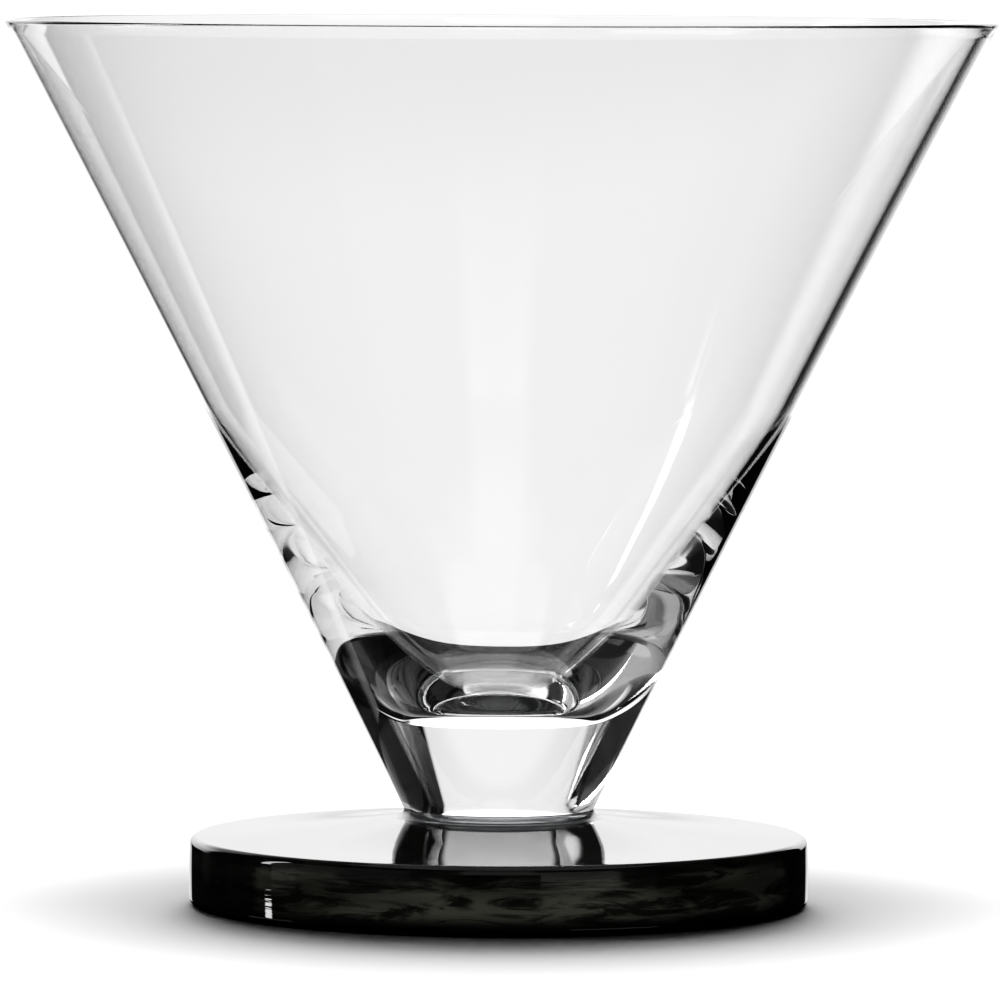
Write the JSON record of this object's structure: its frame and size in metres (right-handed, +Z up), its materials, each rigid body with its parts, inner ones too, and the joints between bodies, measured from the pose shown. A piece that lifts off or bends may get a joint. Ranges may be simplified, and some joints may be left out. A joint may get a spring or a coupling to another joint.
{
  "type": "martini glass",
  "caption": "Conical clear-glass cocktail bowl with a thick solid neck, bonded to a low round black glass foot.",
  "frame": {"origin": "centre of the foot's flat underside, on the surface the glass stands on", "axes": "+Z up along the glass's axis of symmetry; +X and +Y are level and interchangeable"},
  "size_m": [0.105, 0.105, 0.094],
  "materials": {
    "clear_glass": "fire-polished, clear and smooth",
    "clear_bond": "clear, glossy",
    "black_glass": "polished, nearly opaque"
  },
  "bodies": {
    "root": {"bowl": "clear_glass", "bond": "clear_bond", "foot": "black_glass"}
  },
  "joints": []
}
